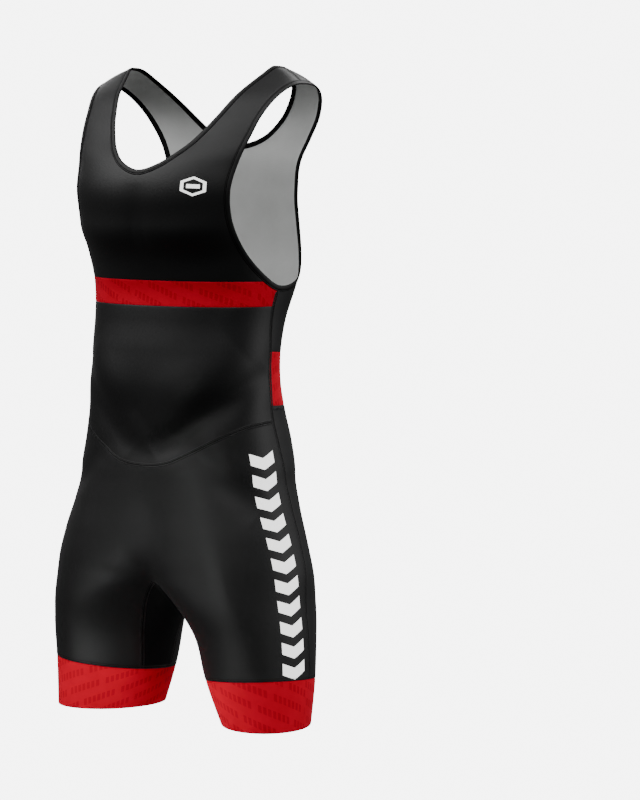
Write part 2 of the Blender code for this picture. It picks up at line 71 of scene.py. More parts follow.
# the figure in mm: one rounded oval for each half of the body, at each height
# height, centre x, half width, centre y, front, back, squareness, turn outwards in degrees
FIGURE = np.array([
    (0, 0, 254, 44, 30, 66, 3.2, 0),
    (-30, 0, 232, 44, 72, 82, 3.2, 0),
    (-60, 0, 206, 38, 85, 94, 3.1, 0),
    (-90, 0, 184, 31, 96, 98, 2.8, 0),
    (-120, 0, 170, 30, 117, 93, 2.4, 0),
    (-160, 0, 165, 30, 130, 93, 2.3, 0),
    (-200, 0, 159, 32, 126, 92, 2.3, 0),
    (-240, 0, 152, 33, 113, 88, 2.3, 0),
    (-280, 0, 144, 27, 98, 83, 2.3, 0),
    (-320, 0, 137, 16, 91, 80, 2.3, 0),
    (-360, 0, 135, 8, 91, 78, 2.3, 0),
    (-400, 0, 136, 3, 91, 84, 2.3, 0),
    (-440, 0, 138, 3, 88, 98, 2.3, 0),
    (-480, 0, 145, 3, 88, 109, 2.3, 0),
    (-520, 0, 152, 3, 92, 108, 2.3, 0),
    (-560, 13, 148, 3, 96, 101, 2.3, 0),
    (-600, 38, 137, 3, 100, 92, 2.25, 0),
    (-640, 70, 116, 3, 101, 86, 2.15, 2),
    (-680, 96, 92, 3, 98, 86, 2.1, 10),
    (-720, 112, 79, 3, 88, 90, 2.05, 20),
    (-780, 121, 71, 3, 78, 86, 2.0, 28),
    (-860, 134, 53, 3, 67, 73, 2.0, 34),
]) / ([1000] * 6 + [1, 1])
CHEST_HEIGHT, SHOULDER_RISE, SHOULDER_POWER = -0.160, 0.1750, 2.3
SPLIT_HEIGHT, SPLIT_SPAN, CROTCH_BLEND = -0.540, 0.100, 0.018

OUTSIDE_DEPTH = 0.12      # lines that are laid on the figure start this far in front or behind
LONGEST_STEP = 0.02       # on their way to it
LINE_POINTS, CENTRE_POINTS = 401, 301      # of a fine line round the figure and up its centre

# finished edges and seams of the wearer's left half, as x, y, z in mm
NECK_FRONT = metres((0, -94, -127.5), (28, -87, -120), (51, -72, -104), (75, -45, -75),
                    (91, -20, -45), (104, 10, -20))
NECK_SHOULDER = metres(116, 50, 0)
NECK_BACK = metres((111, 84, -13), (100, 103, -28), (86, 115, -45), (67, 122, -66), (38, 124, -88),
                   (0, 121, -98))
ARM_SHOULDER = metres(163, 41, -22)
ARM_FRONT = metres((155, 4, -34), (146, -20, -57), (139, -36, -86), (131, -52, -119),
                   (126, -63, -155), (125, -59, -190), (127, -42, -223), (135, -20, -252))
UNDERARM = metres(144, 14, -276)
ARM_BACK = metres((139, 60, -268), (126, 90, -245), (113, 104, -208), (106, 107, -168),
                  (110, 107, -133), (121, 107, -101), (136, 103, -73), (153, 86, -43))
SIDE_SEAM = metres((141, 9, -303), (138, 8, -361), (139, 7, -430), (141, 8, -450), (149, 14, -495),
                   (162, 19, -550), (181, 16, -612), (192, 12, -670), (196, 13, -730),
                   (195, 14, -775), (190, 14, -830))
YOKE_SEAM = metres((0, -85, -507), (40, -83, -502), (68, -78, -489), (108, -60, -468),
                   (130, -38, -456))
GUSSET_FRONT = metres((0, -63, -655), (12, -58, -672), (23, -51, -692), (34, -40, -718),
                      (42, -31, -750), (48, -24, -790), (53, -20, -840))
GUSSET_BACK = metres((0, 66, -672), (18, 65, -674), (27, 58, -692), (38, 45, -722), (46, 35, -752),
                     (51, 30, -790), (55, 27, -840))

# heights of bands and seams, in metres
CHEST_BAND_TOP, CHEST_BAND_BOTTOM = -0.271, -0.303
BACK_BAND_TOP, BACK_BAND_BOTTOM = (-0.369, -0.361), (-0.435, -0.430)   # centre back, side seam
YOKE_SIDE = -0.450
BACK_TURN = -0.305        # on the centre back, facing the underarm corner
CROTCH_LOW, CROTCH_DEPTH = -0.695, 0.030
CUFF_TOP, CUFF_BOTTOM = -0.782, -0.840
LEG_CENTRE, LEG_RADIUS = np.array([0.120, 0.003]), 0.075
CUFF_TILT_X, CUFF_TILT_Y = 0.08, -0.08

# creases in mm: start, middle and end (x, y, z), half width, height (below 0 is a trough)
CREASES = [
    # the belly stands out over a deep fold that hangs from hip to hip, just above the yoke seam
    ((121, -38, -352), (78, -75, -396), (0, -84, -450), 22, 5.0),
    ((139, 4, -382), (98, -65, -434), (8, -84, -492), 13, -8.8),
    ((56, -81, -480), (5, -84, -488), (-45, -84, -478), 12, -2.0),
    ((-124, -40, -366), (-88, -70, -424), (-14, -84, -488), 13, -5.6),
    ((-100, -65, -350), (-60, -81, -390), (-15, -85, -440), 18, 2.4),
    # under the chest and between its two sides
    ((-10, -94, -212), (60, -89, -211), (126, -52, -200), 15, 5.4),
    ((10, -87, -244), (70, -79, -244), (126, -38, -236), 12, -3.0),
    ((10, -94, -214), (-62, -88, -215), (-130, -44, -208), 16, 5.8),
    ((-10, -87, -247), (-72, -79, -248), (-130, -32, -243), 12, -2.8),
    ((0, -104, -145), (0, -100, -185), (0, -92, -230), 13, -2.0),
    # from the yoke seam down over the hips
    ((52, -80, -468), (116, -63, -522), (154, -36, -566), 13, -6.4),
    ((-52, -81, -474), (-102, -68, -520), (-142, -42, -556), 12, -2.4),
    # the fronts of the thighs stand out beside a shallow hollow, over short folds above the legs
    ((82, -81, -500), (122, -86, -630), (150, -71, -775), 19, 3.6),
    ((-70, -86, -500), (-108, -88, -630), (-140, -74, -775), 21, 3.0),
    ((4, -70, -655), (18, -94, -590), (10, -89, -505), 26, -3.6),
    ((12, -70, -652), (56, -94, -642), (110, -88, -634), 7, -0.9),
    ((-14, -70, -654), (-50, -92, -648), (-92, -90, -644), 7, -0.9),
    # seat and below it
    ((0, 110, -470), (0, 108, -545), (0, 80, -640), 14, -3.2),
    ((12, 85, -640), (58, 92, -628), (112, 80, -612), 12, -2.4),
    ((-12, 85, -640), (-60, 92, -631), (-118, 78, -617), 13, -2.2),
    # small of the back and shoulder blades
    ((0, 118, -165), (0, 112, -260), (0, 90, -360), 14, -2.4),
    ((22, 100, -300), (72, 90, -318), (118, 60, -322), 10, -1.1),
    ((-30, 100, -306), (-76, 88, -312), (-120, 58, -329), 10, -1.2),
    # pull at the underarm
    ((128, -30, -262), (112, -50, -290), (90, -64, -318), 8, -0.9),
    ((-128, -30, -262), (-110, -52, -286), (-84, -66, -306), 8, -0.8),
]

# prints, in mm along and across their spine
CHEVRON_PITCH, CHEVRON_LENGTH, CHEVRON_POINT = 27, 15, 16
LEG_CHEVRONS, LEG_START, BACK_CHEVRONS = 11, 14, 7
CHEVRON_HALF = 19         # half of its width
BACK_START = 85           # the row on the back band starts this far before its middle
LEG_LINES = [(4, 12, -4.6, -1.6), (4, 56, 0.6, 1.4), (4, 86, 3.0, 3.8)]  # start, length, sides
EMBLEM_CENTRE, EMBLEM_SIZE, EMBLEM_BAND, EMBLEM_STRETCH = 20, 12.5, 3.2, 1.6
EMBLEM_BAR = (17.5, 5, -9, 9)
# spines of the prints in mm: start, end and number of points
SPINES = {
    "chest_emblem": ((83, -80, -131), (83, -85, -171), 20),
    "back_emblem": ((0, 120, -129), (0, 120, -169), 20),
    "leg_chevrons": ((143, -22, -480), (190, -17, -785), 60),
    "leg_lines": ((-176, 36, -620), (-190, 34, -755), 40),
}
# dashes of the red knit: spacing of rows and dashes and the shift from row to row in metres, climb in
# degrees, lean; the dark share of a row's height and of a dash's length, dashes in a group, depth
# and tint
DASH_ROWS, DASH_STEP, DASH_SHIFT, DASH_CLIMB, DASH_LEAN = 0.019, 0.007, 0.0233, 20, 0.30
DASH_HEIGHT, DASH_LENGTH, DASH_GROUP, DASH_DARKNESS, DASH_TINT = 0.42, 0.64, 8, 0.30, "#aa8989"
LOOP_WIDTH = 0.0022       # drawn width of a loop of the knit


# ---- the figure ----
LEVELS, OVALS = FIGURE[::-1, 0], FIGURE[::-1, 1:]
OVAL_SLOPES = np.gradient(OVALS, LEVELS, axis=0)
OVAL_SLOPES[:, 0] *= OVALS[:, 0] > 0      # the two centres part smoothly below the hips


def hermite(t, span, start, end, slope_start, slope_end):
    """Cubic through two values with their slopes: the usual Hermite weights of t."""
    rising = t * t * (3 - 2 * t)
    return ((1 - rising) * start + rising * end
            + t * (1 - t) ** 2 * span * slope_start + t * t * (t - 1) * span * slope_end)


def oval_at(height):
    """The figure's columns at any height, by cubic interpolation between its rows."""
    height = np.clip(height, LEVELS[0], LEVELS[-1])
    row = np.clip(np.searchsorted(LEVELS, height) - 1, 0, len(LEVELS) - 2)
    span = (LEVELS[row + 1] - LEVELS[row])[..., None]
    t = (height - LEVELS[row])[..., None] / span
    return hermite(t, span, OVALS[row], OVALS[row + 1], OVAL_SLOPES[row], OVAL_SLOPES[row + 1])


def half_body(points, side, oval):
    """Below 0 inside one half: a rounded oval that closes over the shoulders by a power mean. The
    factor of 0.1 makes it about a distance in metres."""
    centre_x, half_width, centre_y, front, back, square, turn = np.moveaxis(oval, -1, 0)
    out, back_by = points[..., 0] * side - centre_x, points[..., 1] - centre_y
    cosine, sine = np.cos(np.radians(turn)), np.sin(np.radians(turn))
    across, away = out * cosine + back_by * sine, back_by * cosine - out * sine
    depth = np.where(away < 0, front, back)
    ring = (np.abs(across / half_width) ** square + np.abs(away / depth) ** square) ** (1 / square)
    rise = np.maximum(0, points[..., 2] - CHEST_HEIGHT) / SHOULDER_RISE
    return 0.1 * ((ring ** SHOULDER_POWER + rise ** SHOULDER_POWER) ** (1 / SHOULDER_POWER) - 1)


def figure(points):
    """The lesser of the two halves, with a smooth minimum where they part into legs."""
    oval = oval_at(points[..., 2])
    left, right = half_body(points, 1, oval), half_body(points, -1, oval)
    parted = np.clip((SPLIT_HEIGHT - points[..., 2]) / SPLIT_SPAN, 0, 1)
    blend = np.maximum(CROTCH_BLEND * parted * parted * (3 - 2 * parted), 1e-9)
    near = np.maximum(blend - np.abs(left - right), 0) / blend
    return np.minimum(left, right) - near * near * blend / 4


def slope(points):
    """The figure's gradient by central differences."""
    step = 1e-4
    ahead = [figure(points + d) - figure(points - d) for d in np.eye(3) * step]
    return np.stack(ahead, -1) / (2 * step)


def unit(vectors):
    """Vectors over their own lengths."""
    return vectors / np.maximum(np.linalg.norm(vectors, axis=-1, keepdims=True), 1e-12)


def outward(points):
    """The figure's normal: its gradient, made one long."""
    return unit(slope(points))


def on_centre(points):
    """Which points lie on the centre plane: their x is nothing."""
    return np.abs(points[..., 0]) < 1e-9


def drop(points, level=False, rounds=12):
    """Newton steps along the gradient onto the figure, or along its level part only."""
    points = np.array(points, float)
    held = on_centre(points)
    for _ in range(rounds):
        way = slope(points)
        if level:
            way[..., 2] = 0
        move = way * (figure(points) / np.maximum((way * way).sum(-1), 1e-6))[..., None]
        length = np.linalg.norm(move, axis=-1, keepdims=True)
        points -= move * np.minimum(1, LONGEST_STEP / np.maximum(length, 1e-12))
        points[held, 0] = 0
    return points


def creases(points):
    """Height of the creases: a bell across each quadratic curve, fading towards both its ends."""
    height = np.zeros(points.shape[:-1])
    for start, middle, end, width, rise in CREASES:
        start, middle, end = metres(start, middle, end)
        chord = end - start
        t = np.clip((points - start) @ chord / (chord @ chord), 0, 1)[..., None]
        bend = 2 * middle - (start + end) / 2
        curve = (1 - t) ** 2 * start + 2 * t * (1 - t) * bend + t ** 2 * end
        near = np.exp(-((points - curve) ** 2).sum(-1) / (2 * (width / 1000) ** 2))
        height += rise / 1000 * near * np.sin(np.pi * np.clip(t[..., 0], 0.02, 0.98)) ** 0.7
    return height


def on_cloth(points, rise):
    """Points of the figure moved out along its normal by the creases and a given height."""
    normal = outward(points)
    normal[on_centre(points), 0] = 0
    return points + unit(normal) * (creases(points) + rise)[..., None]


# ---- seam lines ----
def lengths(points, axis=0):
    """Running length along a line, or along one way of a grid: the sum of the steps before."""
    steps = np.linalg.norm(np.diff(points, axis=axis), axis=-1)
    first = np.zeros_like(np.take(steps, [0], axis=axis))
    return np.concatenate([first, np.cumsum(steps, axis=axis)], axis=axis)


def points_at(where, run, line):
    """Points of a line at given running lengths, by linear interpolation."""
    return np.stack([np.interp(where, run, line[:, k]) for k in range(3)], -1)


def at_shares(line, shares):
    """Points at those shares of a line's length."""
    run = lengths(line)
    return points_at(shares * run[-1], run, line)


def evenly(line, closed=False, count=None):
    """The line again with equal steps of about a cell, or of a given count; a closed line returns
    to its first point."""
    if closed:
        line = np.vstack([line, line[:1]])
    count = count or max(4, int(round(lengths(line)[-1] / CELL)))
    result = at_shares(line, np.linspace(0, 1, count + 1))
    return result[:-1] if closed else result


def join(*lines):
    """Lines that follow each other, without the repeated points."""
    return np.vstack([lines[0]] + [line[1:] for line in lines[1:]])


def whole_line(half):
    """A half line that starts on the centre plane, with its mirror image before it."""
    return np.vstack([mirrored(half)[:-1], half])


def smooth(points, fine=600):
    """A cubic curve through the points, laid on the figure."""
    points = np.array(points)
    run = lengths(points)
    slopes = np.gradient(points, run, axis=0)
    where = np.linspace(0, run[-1], fine + 1)
    row = np.clip(np.searchsorted(run, where) - 1, 0, len(run) - 2)
    span = (run[row + 1] - run[row])[:, None]
    t = (where - run[row])[:, None] / span
    return drop(hermite(t, span, points[row], points[row + 1], slopes[row], slopes[row + 1]))


def mirrored(points):
    """Points in mirror image and from last to first."""
    return np.array(points, float)[::-1] * (-1, 1, 1)


def from_centre(points, fine=600):
    """A smooth curve that starts square to the centre plane."""
    half = smooth(whole_line(points), 2 * fine)[fine:]
    half[0, 0] = 0
    return half


def split(line, amount):
    """Cuts a line where an amount given for its points first passes 0."""
    k = np.nonzero(amount[:-1] * amount[1:] <= 0)[0][0]
    t = amount[k] / (amount[k] - amount[k + 1])
    cut = line[k] * (1 - t) + line[k + 1] * t
    return np.vstack([line[:k + 1], cut]), np.vstack([cut, line[k + 1:]])


def above_cuff(line, cuff=CUFF_TOP):
    """Height above the plane of the cuff seam, whose tilt fades to a level hem."""
    tilt = np.clip((cuff - CUFF_BOTTOM) / (CUFF_TOP - CUFF_BOTTOM), 0, 1)
    across = CUFF_TILT_X * (line[..., 0] - LEG_CENTRE[0]) + CUFF_TILT_Y * line[..., 1]
    return line[..., 2] - cuff - tilt * across


def sideways_of(line, closed):
    """Unit directions along the surface, square to the line: the normal crossed with the tangent."""
    if closed:
        along = np.roll(line, -1, axis=0) - np.roll(line, 1, axis=0)
    else:
        along = np.gradient(line, axis=0)
        ends = on_centre(line[[0, -1]])
        along[0, 1:] *= not ends[0]
        along[-1, 1:] *= not ends[1]
    return unit(np.cross(outward(line), along))


def level_line(front, centre_height, side_point):
    """A nearly level line from the centre plane to a point on the side seam: a quarter ellipse in
    plan, whose height goes with the square of the way."""
    t = np.linspace(0, 1, LINE_POINTS)
    depth = -OUTSIDE_DEPTH if front else OUTSIDE_DEPTH
    line = np.stack([side_point[0] * np.sin(t * np.pi / 2),
                     side_point[1] + (depth - side_point[1]) * np.cos(t * np.pi / 2),
                     centre_height + (side_point[2] - centre_height) * t ** 2], -1)
    line[0, 0] = 0
    return drop(line, level=True)


def centre_line(start, end):
    """A line in the centre plane between two of its points: a chord laid on the figure."""
    t = np.linspace(0, 1, CENTRE_POINTS)[:, None]
    return drop(start * (1 - t) + end * t, level=True)


def cuff_ring(cuff, start=None, end=None, way=1):
    """The cut of the figure by a cuff plane, all round the leg or from one point to another: a
    circle that is brought to the plane and to the figure by turns."""
    x, y = LEG_CENTRE
    if start is None:
        angle = np.linspace(0, 2 * np.pi, LINE_POINTS)
    else:
        first, last = (np.arctan2(p[1] - y, p[0] - x) for p in (start, end))
        sweep = (last - first) % (2 * np.pi) - (2 * np.pi if way < 0 else 0)
        angle = first + np.linspace(0, sweep, LINE_POINTS)
    line = np.stack([x + LEG_RADIUS * np.cos(angle), y + LEG_RADIUS * np.sin(angle),
                     np.full(LINE_POINTS, cuff)], -1)
    for _ in range(4):
        line[:, 2] -= above_cuff(line, cuff)
        line = drop(line, level=True)
    return line


def seam_layout():
    """Every seam line of the left half as a fine line of points."""
    over = mirrored(NECK_BACK[-4:-1])
    whole = from_centre(np.vstack([NECK_FRONT, NECK_SHOULDER, NECK_BACK, over]), fine=1400)
    whole = whole[:np.nonzero(whole[1:, 0] <= 0)[0][0] + 2]
    whole[-1, 0] = 0
    side = sideways_of(whole, closed=False)
    neck = whole - side * BINDING_WIDTH * np.sign(side[0, 2])
    neck[[0, -1], 0] = 0
    neck = drop(neck)
    s = {"neck": neck}
    s["neck_front"], s["neck_back"] = split(neck, neck[:, 1] - NECK_SHOULDER[1])

    arm = np.vstack([ARM_SHOULDER, ARM_FRONT, UNDERARM, ARM_BACK])
    ring = smooth(np.vstack([arm[-3:], arm, arm[:4]]), fine=1800)
    away = np.linalg.norm(ring - drop(ARM_SHOULDER), axis=1)
    half = len(ring) // 2
    ring = ring[away[:half].argmin():half + away[half:].argmin()]
    side = sideways_of(ring, closed=True)
    out = -np.sign(((ring.mean(0) - ring) * side).sum())
    edge = drop(ring + side * out * BINDING_WIDTH)
    low = np.linalg.norm(ring - drop(UNDERARM), axis=1).argmin()
    s["arm"] = edge
    s["arm_front"], s["arm_back"] = edge[:low + 1], np.vstack([edge[low:], edge[:1]])
    s["arm_chest"], s["arm_band"] = split(s["arm_front"], s["arm_front"][:, 2] - CHEST_BAND_TOP)

    rest = smooth(np.vstack([s["arm_front"][-1], SIDE_SEAM]), fine=1500)
    names = ("side_band", "side_back", "side_back_band", "side_yoke")
    for name, level in zip(names, (CHEST_BAND_BOTTOM, BACK_BAND_TOP[1], BACK_BAND_BOTTOM[1],
                                   YOKE_SIDE)):
        s[name], rest = split(rest, rest[:, 2] - level)
    s["side_leg"] = split(rest, above_cuff(rest))[0]
    s["side"] = np.vstack([s[n] for n in names] + [s["side_leg"]])

    s["band_top"] = level_line(True, CHEST_BAND_TOP, s["arm_band"][0])
    s["band_bottom"] = level_line(True, CHEST_BAND_BOTTOM, s["side_band"][-1])
    s["back_top"] = level_line(False, BACK_BAND_TOP[0], s["side_back"][-1])
    s["back_bottom"] = level_line(False, BACK_BAND_BOTTOM[0], s["side_back_band"][-1])
    s["yoke"] = from_centre(np.vstack([YOKE_SEAM, s["side_yoke"][-1]]))
    for name, points in (("gusset_front", GUSSET_FRONT), ("gusset_back", GUSSET_BACK)):
        line = smooth(points)
        s[name] = split(line, above_cuff(line))[0]
    hip = s["side_leg"][-1]
    s["hem_front"] = cuff_ring(CUFF_TOP, s["gusset_front"][-1], hip, way=1)
    s["hem_back"] = cuff_ring(CUFF_TOP, s["gusset_back"][-1], hip, way=-1)
    s["hem_inner"] = cuff_ring(CUFF_TOP, s["gusset_front"][-1], s["gusset_back"][-1], way=-1)
    s["shoulder"] = drop(np.linspace(s["neck_front"][-1], s["arm_front"][0], 120))
    return s


# ---- meshes ----
def add_piece(name, points, faces, materials, face_material=None, cloth=None):
    """One mesh object in the frame's own axes. Its cloth map is given for each point or corner."""
    faces = np.asarray(faces)
    mesh = bpy.data.meshes.new(name)
    mesh.vertices.add(len(points))
    mesh.vertices.foreach_set("co", np.asarray(points, np.float32).ravel())
    corners = faces.shape[1]
    mesh.loops.add(faces.size)
    mesh.loops.foreach_set("vertex_index", faces.astype(np.int32).ravel())
    mesh.polygons.add(len(faces))
    mesh.polygons.foreach_set("loop_start", np.arange(0, faces.size, corners, dtype=np.int32))
    mesh.polygons.foreach_set("use_smooth", np.ones(len(faces), bool))
    for material in materials:
        mesh.materials.append(material)
    if face_material is not None:
        mesh.polygons.foreach_set("material_index", np.asarray(face_material, np.int32))
    if cloth is not None:
        layer = mesh.uv_layers.new(name="cloth")
        at_corners = cloth if len(cloth) == faces.size else cloth[faces.ravel()]
        layer.uv.foreach_set("vector", at_corners.astype(np.float32).ravel())
    mesh.update(calc_edges=True)
    mesh.validate()
    piece = bpy.data.objects.new(name, mesh)
    bpy.context.scene.collection.objects.link(piece)
    return piece


def shares(size):
    """Shares of a length for a net's lines: equal cells, with finer ones at each end."""
    inner = np.linspace(0, 1, max(2, int(round(size / CELL))) + 1)
    ends = np.array(FINE_CELLS) / size
    inner = inner[(inner > 2 * ends[1]) & (inner < 1 - 2 * ends[1])]
    return np.concatenate([[0], ends, inner, 1 - ends[::-1], [1]])


def net(top, bottom, left, right, corners=()):
    """A Coons net between four seam lines, laid on the figure: the two ruled surfaces added and the
    bilinear one taken away. A corner on the left or right line is given as the share of each."""
    across = shares(max(lengths(top)[-1], lengths(bottom)[-1]))
    down = shares(max(lengths(left)[-1], lengths(right)[-1]))
    left_at, right_at = down, down
    if corners:
        turn, on_left, on_right = corners
        down = np.sort(np.append(down[np.abs(down - turn) > 0.002], turn))
        left_at = np.interp(down, [0, turn, 1], [0, on_left, 1])
        right_at = np.interp(down, [0, turn, 1], [0, on_right, 1])
    a, b = at_shares(top, across), at_shares(bottom, across)
    c, d = at_shares(left, left_at), at_shares(right, right_at)
    u, v = across[None, :, None], down[:, None, None]
    grid = ((1 - v) * a[None] + v * b[None] + (1 - u) * c[:, None] + u * d[:, None]
            - (1 - u) * (1 - v) * a[0] - u * (1 - v) * a[-1] - (1 - u) * v * b[0] - u * v * b[-1])
    centre = np.zeros(grid.shape[:2], bool)
    centre[:, 0] = np.abs(c[:, 0]) < 1e-6
    grid[centre, 0] = 0
    return drop(grid)


def edge_dip(grid):
    """How far the cloth dips into its seams: an exponential of the distance from each edge."""
    dip = np.zeros(grid.shape[:2])
    for flip in (False, True):
        work = np.swapaxes(grid, 0, 1) if flip else grid
        run = lengths(work)
        low, high = np.exp(-run / SEAM_REACH), np.exp(-(run[-1] - run) / SEAM_REACH)
        low = np.where(on_centre(work[:1]), 0, low)
        dips = np.maximum(low, high)
        dip = np.maximum(dip, dips.T if flip else dips)
    return -SEAM_DIP * dip


def cloth_map(grid):
    """Running lengths of the net across and up, in metres, so that the knit keeps its scale."""
    return np.stack([lengths(grid, axis=1), lengths(grid)], -1)


def wall_faces(rows, columns):
    """Quads of an outer sheet, its inner sheet and the rim between them."""
    sheet = np.arange(rows * columns).reshape(rows, columns)
    outer = np.stack([sheet[:-1, :-1], sheet[:-1, 1:], sheet[1:, 1:], sheet[1:, :-1]], -1)
    outer = outer.reshape(-1, 4)
    inner = outer[:, ::-1] + rows * columns
    ring = np.concatenate([sheet[0, ::-1][:-1], sheet[:, 0][:-1], sheet[-1][:-1],
                           sheet[::-1, -1][:-1]])
    ahead = np.roll(ring, -1)
    rim = np.stack([ring, ahead, ahead + rows * columns, ring + rows * columns], -1)
    return outer, inner, rim


def panel(name, grid, outside, inside):
    """A cloth panel: its net, lifted by creases and dipped at its seams, with its wall inside. The
    half net is repeated in mirror image and the two halves share their points on the centre plane."""
    dip, flat = edge_dip(grid), cloth_map(grid)
    rows, columns = grid.shape[:2]
    outer, inner, rim = wall_faces(rows, columns)
    normal = outward(grid)
    turned = (np.cross(grid[1:, :-1] - grid[:-1, :-1], grid[:-1, 1:] - grid[:-1, :-1])
              * normal[:-1, :-1]).sum() > 0
    points, faces, kinds, maps = [], [], [], []
    for half in (1, -1):
        surface = grid * (half, 1, 1)
        shell = [on_cloth(surface, dip), on_cloth(surface, dip - CLOTH)]
        start = sum(len(p) for p in points)
        points.append(np.concatenate([s.reshape(-1, 3) for s in shell]))
        maps.append(np.concatenate([(flat * (half, 1)).reshape(-1, 2)] * 2))
        for kind, some in enumerate((outer, inner, rim)):
            some = some[:, ::-1] if turned == (half > 0) else some
            faces.append(some + start)
            kinds.append(np.full(len(some), int(kind == 1)))
    points, faces = np.concatenate(points), np.concatenate(faces)
    kinds, maps = np.concatenate(kinds), np.concatenate(maps)
    count = 2 * rows * columns
    twin = np.arange(len(points))
    centre = np.nonzero(np.abs(points[:count, 0]) < 1e-7)[0]
    twin[centre + count] = centre
    inside_fold = np.isin(np.arange(len(points)), np.concatenate([centre, centre + count]))
    keep = ~inside_fold[faces].all(1)
    faces, kinds = twin[faces[keep]], kinds[keep]
    used, faces = np.unique(faces, return_inverse=True)
    return add_piece(name, points[used], faces.reshape(-1, 4), (outside, inside), kinds, maps[used])


def ring_faces(rows, columns, closed):
    """Quads of a tube: a row of points for each station, its columns going round the section."""
    sheet = np.arange(rows * columns).reshape(rows, columns)
    ahead = np.roll(sheet, -1, axis=0) if closed else sheet[1:]
    here = sheet if closed else sheet[:-1]
    cells = np.stack([here, np.roll(here, -1, axis=1), np.roll(ahead, -1, axis=1), ahead], -1)
    return cells.reshape(-1, 4)


def round_map(along, across, faces, whole):
    """The map of a tube at its faces' corners. The last cells of a closed one run on past its whole
    length, and an open one has none."""
    flat = np.stack(np.broadcast_arrays(along[:, None], across[None]), -1).reshape(-1, 2)[faces]
    behind = flat[..., 0].max(1, keepdims=True) - flat[..., 0] > whole / 2
    flat[..., 0] += whole * behind
    return flat.reshape(-1, 2)


def add_tube(name, tube, faces, materials, kinds, along, across, whole):
    """A closed piece from rows of section points, with its faces turned outwards."""
    points = tube.reshape(-1, 3)
    a, b, c = (points[faces[:, k]] - points.mean(0) for k in (0, 1, 2))
    if np.einsum("ij,ij->i", a, np.cross(b, c)).sum() < 0:
        faces = faces[:, ::-1]
    return add_piece(name, points, faces, materials, kinds,
                     round_map(along, across, faces, whole))


def strip(name, line, section, materials, closed, towards=None, thread_and_shade_sides=()):
    """A profile carried along a seam line: each of its points lies a distance to the side of the
    line and a height over the cloth. An open strip ends in a point. The listed sides of the profile
    get the second material: thread on a seam; on a binding, thread in its furrow and painted shade at
    its joins, fold and inner face."""
    side = sideways_of(line, closed)
    if towards is not None:
        side *= np.sign(((towards - line) * side).sum())
    side[on_centre(line), 0] = 0
    columns = []
    for out, height in section:
        foot = line + side * out
        foot[on_centre(line), 0] = 0
        columns.append(on_cloth(drop(foot, rounds=5), height))
    tube = np.stack(columns, 1)
    if not closed:
        tube[0], tube[-1] = tube[0].mean(0), tube[-1].mean(0)
    along = lengths(np.vstack([line, line[:1]]))
    across = lengths(np.pad(section, ((0, 0), (0, 1))))
    faces = ring_faces(*tube.shape[:2], closed)
    kinds = np.isin(faces[:, 0] % tube.shape[1], thread_and_shade_sides).astype(int)
    return add_tube(name, tube, faces, materials, kinds, along[:-1], across,
                    along[-1] if closed else 0)


def binding_section():
    """Folded tape over an edge: flat with a stitched furrow near the cloth and a round outer fold.
    Its inner face is its outer face turned over the middle of the cloth."""
    outside = [(-0.5, -0.25), (-0.3, 0.12), (0.4, 0.42), (1.2, 0.40), (1.7, 0.18), (2.1, 0.40),
               (3.2, 0.58), (4.6, 0.62), (5.8, 0.52), (6.8, 0.22), (7.3, -0.12), (7.45, -0.5)]
    inside = [(x, -1000 * CLOTH - y) for x, y in outside[-2::-1]]
    return np.array(outside + inside) * 0.001


def stitch_section(width):
    """Flat seam: a low band with the sunken join in its middle and a row of stitches on each side.
    Points are shares of half the width, and heights in mm."""
    half = [(0.17, -0.30), (0.26, 0.14), (0.50, 0.12), (0.53, 0.02), (0.68, 0.02), (0.71, 0.12),
            (0.82, 0.12), (0.95, 0.04), (1.0, -0.45)]
    shape = [(-x, y) for x, y in half[::-1]] + half
    return np.array([(x * width / 2, y * 0.001) for x, y in shape])


def cuff(name, side, outside, inside):
    """A leg band: rings cut from the figure by planes from the cuff seam to the hem, outside and
    then back up inside, with a rounded fold at the hem."""
    down = shares(CUFF_TOP - CUFF_BOTTOM)
    rings = [evenly(cuff_ring(CUFF_TOP + t * (CUFF_BOTTOM - CUFF_TOP))[:-1] * (side, 1, 1),
                    closed=True, count=CUFF_STATIONS) for t in down]
    to_top, to_hem = down * (CUFF_TOP - CUFF_BOTTOM), (1 - down) * (CUFF_TOP - CUFF_BOTTOM)
    fold = -CUFF_DIP * (np.exp(-to_top / SEAM_REACH) + np.exp(-to_hem / HEM_REACH))
    outer = [on_cloth(ring, f) for ring, f in zip(rings, fold)]
    inner = [on_cloth(ring, -CUFF_CLOTH - f) for ring, f in zip(rings, fold)]
    tube = np.stack(outer + inner[::-1], 1)
    faces = ring_faces(*tube.shape[:2], True)
    columns = faces[:, 0] % tube.shape[1]
    run = lengths(np.vstack([rings[0], rings[0][:1]]))
    across = np.concatenate([to_top, 2 * to_top[-1] - to_top[::-1]])
    return add_tube(name, tube, faces, (outside, inside), (columns >= len(down)).astype(int),
                    run[:-1], across, run[-1])


